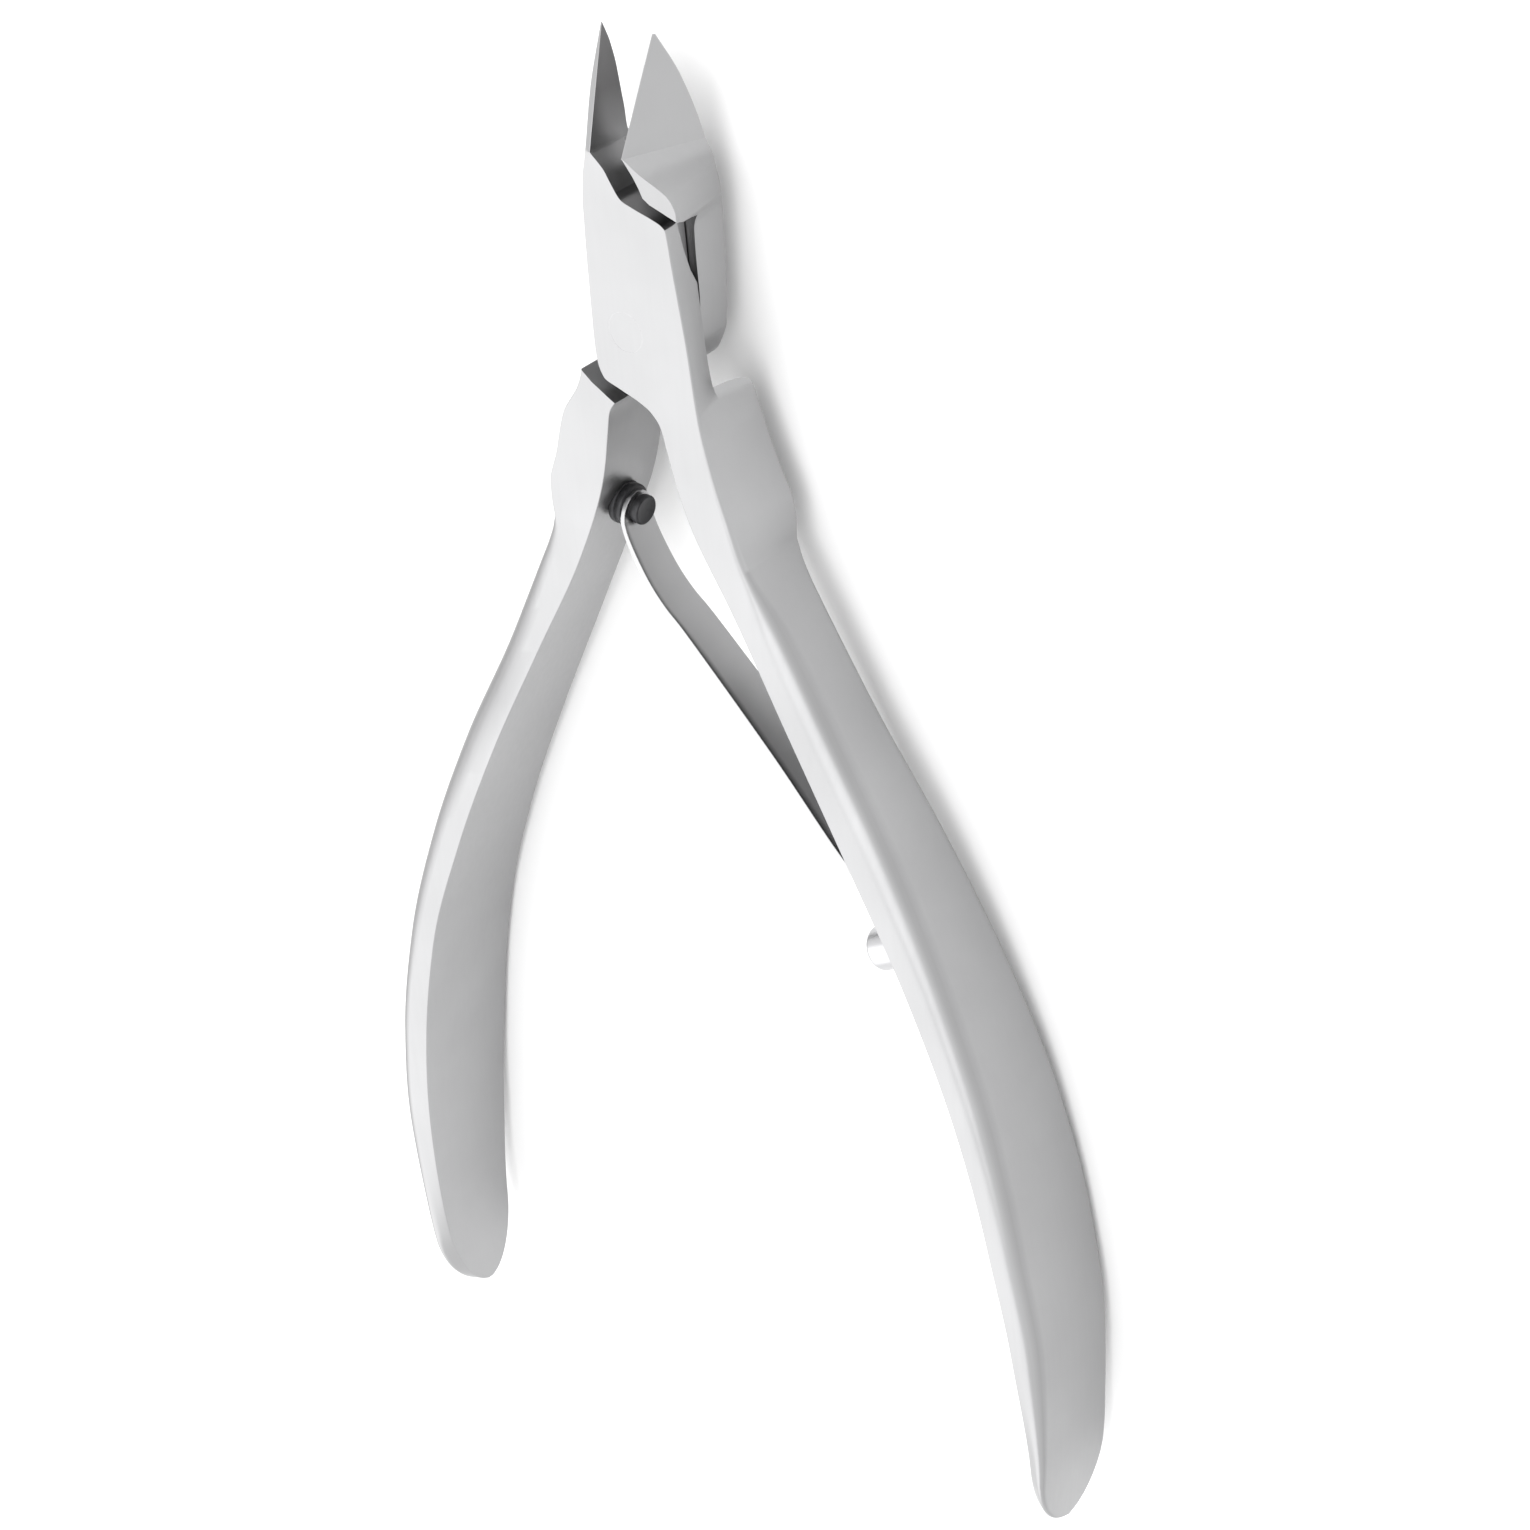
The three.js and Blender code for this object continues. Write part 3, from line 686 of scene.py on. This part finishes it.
def catmull(points, steps):
    """A smooth line through the points, evenly spaced."""
    padded = np.vstack([2 * points[0] - points[1], points, 2 * points[-1] - points[-2]])
    line = []
    for i in range(1, len(padded) - 2):
        p0, p1, p2, p3 = padded[i - 1:i + 3]
        for t in np.linspace(0, 1, 24, endpoint=False):
            line.append(0.5 * (2 * p1 + (p2 - p0) * t + (2 * p0 - 5 * p1 + 4 * p2 - p3) * t * t
                               + (3 * p1 - p0 - 3 * p2 + p3) * t ** 3))
    line.append(points[-1])
    line = np.array(line)
    far = np.concatenate([[0], np.cumsum(np.linalg.norm(np.diff(line, axis=0), axis=1))])
    even = np.linspace(0, far[-1], steps)
    return np.stack([np.interp(even, far, line[:, 0]), np.interp(even, far, line[:, 1])], 1), even


def make_leaf():
    line, far = catmull(leaf_line(), 181)
    run = np.gradient(line, axis=0)
    run /= np.linalg.norm(run, axis=1)[:, None]
    across = np.stack([-run[:, 1], run[:, 0]], 1)
    share = far / far[-1]
    full = np.minimum(1.46 + 2.4 * share, 1.6 + 0.6 * share)
    tuck = np.maximum(0, 1 - np.minimum(far, far[-1] - far) / full)
    half = full * np.sqrt(np.maximum(0.004, 1 - tuck ** 2))
    thick = LEAF_HALF_THICK
    rings = []
    for at, side, wide in zip(line, across, half):
        e = min(LEAF_EDGE, wide * LEAF_EDGE_SHARE)
        rows = [wide - e - min(step, wide * LEAF_EDGE_SHARE) for step in LEAF_ROWS]
        outline = [(-thick, -wide + e), (-thick + e, -wide), (thick - e, -wide), (thick, -wide + e)]
        outline += [(thick, z) for z in reversed(rows)]
        outline += [(thick, wide - e), (thick - e, wide), (-thick + e, wide), (-thick, wide - e)]
        outline += [(-thick, z) for z in rows]
        rings.append([(at[0] + side[0] * s, at[1] + side[1] * s, z) for s, z in outline])
    made = loft("leaf", rings)
    fix_normals(made)
    cut(made, turned("hole", [(LEAF_HOLE, 0.5), (LEAF_HOLE, 2.2)], SCREW_SEAT, SCREW_TILT))
    shade_leaf_edge(made, line, half, share)
    return made


def shade_leaf_edge(made, line, half, share):
    """Painted shade along the leaf's front edge: a thin line near the screw, a soft band further down."""
    values = []
    for vertex in made.data.vertices:
        at = (vertex.co - PIVOT) / MM
        i = int(np.argmin(np.hypot(line[:, 0] - at.x, line[:, 1] - at.y)))
        band = LEAF_SHADE_REACH[0] + (LEAF_SHADE_REACH[1] - LEAF_SHADE_REACH[0]) * ramp(share[i], 0.25, 0.5)
        inside = half[i] - at.z
        values.append(max(0.0, 1 - inside / band) if inside > 0.03 else 0.0)
    made.data.attributes.new("painted_shade", "FLOAT", "POINT").data.foreach_set("value", values)


# ---- stage ----
def make_floor():
    size = 3.0
    corners = [(-size, -size, 0), (size, -size, 0), (size, size, 0), (-size, size, 0)]
    made = mesh_object("floor", corners, [(0, 1, 2, 3)])
    made.location.z = cad_bounds[0][2] - FLOOR_GAP
    material, _, shader = node_material("floor_paint")
    shader.inputs["Base Color"].default_value = (0.8, 0.8, 0.8, 1)
    shader.inputs["Roughness"].default_value = 0.8
    made.data.materials.append(material)


def make_light(name, place_at, size, power):
    lamp = bpy.data.lights.new(name, "AREA")
    lamp.shape = "RECTANGLE"
    lamp.size, lamp.size_y = size
    lamp.energy = power
    made = bpy.data.objects.new(name, lamp)
    bpy.context.scene.collection.objects.link(made)
    made.location = place_at
    made.rotation_euler = (-Vector(place_at)).to_track_quat("-Z", "Y").to_euler()


def make_world():
    world = bpy.data.worlds.new("studio")
    world.use_nodes = True
    world.node_tree.nodes["Background"].inputs["Color"].default_value = (1, 1, 1, 1)
    world.node_tree.nodes["Background"].inputs["Strength"].default_value = SKY_STRENGTH
    bpy.context.scene.world = world


def make_camera():
    azimuth, rise, roll = CAMERA_AZIMUTH, CAMERA_RISE, CAMERA_ROLL
    aside, above, behind = CAMERA_PLACE
    back = Vector((math.sin(azimuth) * math.cos(rise), math.sin(rise), math.cos(azimuth) * math.cos(rise)))
    right = Vector((0, 1, 0)).cross(back).normalized()
    up = back.cross(right)
    turned_right = math.cos(roll) * right + math.sin(roll) * up
    turned_up = -math.sin(roll) * right + math.cos(roll) * up
    eye = PIVOT + MM * (aside * turned_right + above * turned_up + behind * back)
    lens = bpy.data.cameras.new("camera")
    lens.sensor_width = 36
    lens.lens = CAMERA_LENS
    lens.clip_start = 0.01
    made = bpy.data.objects.new("camera", lens)
    bpy.context.scene.collection.objects.link(made)
    turn = Matrix((turned_right, turned_up, back)).transposed()
    made.matrix_world = Matrix.Translation(eye) @ turn.to_4x4()
    bpy.context.scene.camera = made


def make_halves(steel):
    front = make_half("front_body", FRONT_HALF, prism("recess", FRONT_RECESS, -9, LAP_GAP))
    back = make_half("back_body", BACK_HALF, recess_cutter(BACK_WALL_FRONT, BACK_WALL_LAP, -LAP_GAP, 9))
    detail_front(front)
    detail_back(back)
    # paint shade onto the jaws' inner faces, the throat, the facet beside it and the handles' front
    # roundings
    shade_halves(front, -1)
    shade_halves(back, 1)
    for made, body in ((front, "front_half"), (back, "back_half")):
        smooth(made)
        finish_piece(made, steel, body, "satin_steel", body)


def make_fittings(steel):
    """The rivet and stud on the front half, the screw and washer on the back half."""
    bright = satin_steel("bright_steel", (0.46, 0.46, 0.468), 0.3)
    black = black_oxide("black_steel")
    rivet, screw, washer, stud = make_rivet(), make_screw(), make_washer(), make_stud()
    for made in (rivet, screw, washer, stud):
        smooth(made, 40)
    finish_piece(rivet, steel, "front_half", "rivet_steel", "pivot_rivet")
    finish_piece(stud, bright, "front_half", "bright_steel", "stop_stud")
    finish_piece(screw, black, "back_half", "black_steel", "spring_screw")
    finish_piece(washer, black, "back_half", "black_steel", "spring_washer")


def make_spring():
    """The leaf, from its tab under the screw down towards the other handle, in place of the imported spring
    leaf; it is not attached to a body.
    """
    leaf = make_leaf()
    smooth(leaf, 30)
    leaf.data.materials.clear()
    # 0.03 is the colour of the painted shade along the leaf's front edge
    leaf.data.materials.append(satin_steel("spring_steel", (0.42, 0.42, 0.424), 0.3, 0.03))
    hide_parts("spring_leaf")
    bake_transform(leaf)


satin = satin_steel("satin_steel", (0.35, 0.35, 0.354))
make_halves(satin)
make_fittings(satin)
make_spring()
make_floor()
make_world()
make_light("key", *KEY_LIGHT)
make_light("top", *TOP_LIGHT)
make_camera()
bpy.context.scene.view_settings.view_transform = "Standard"
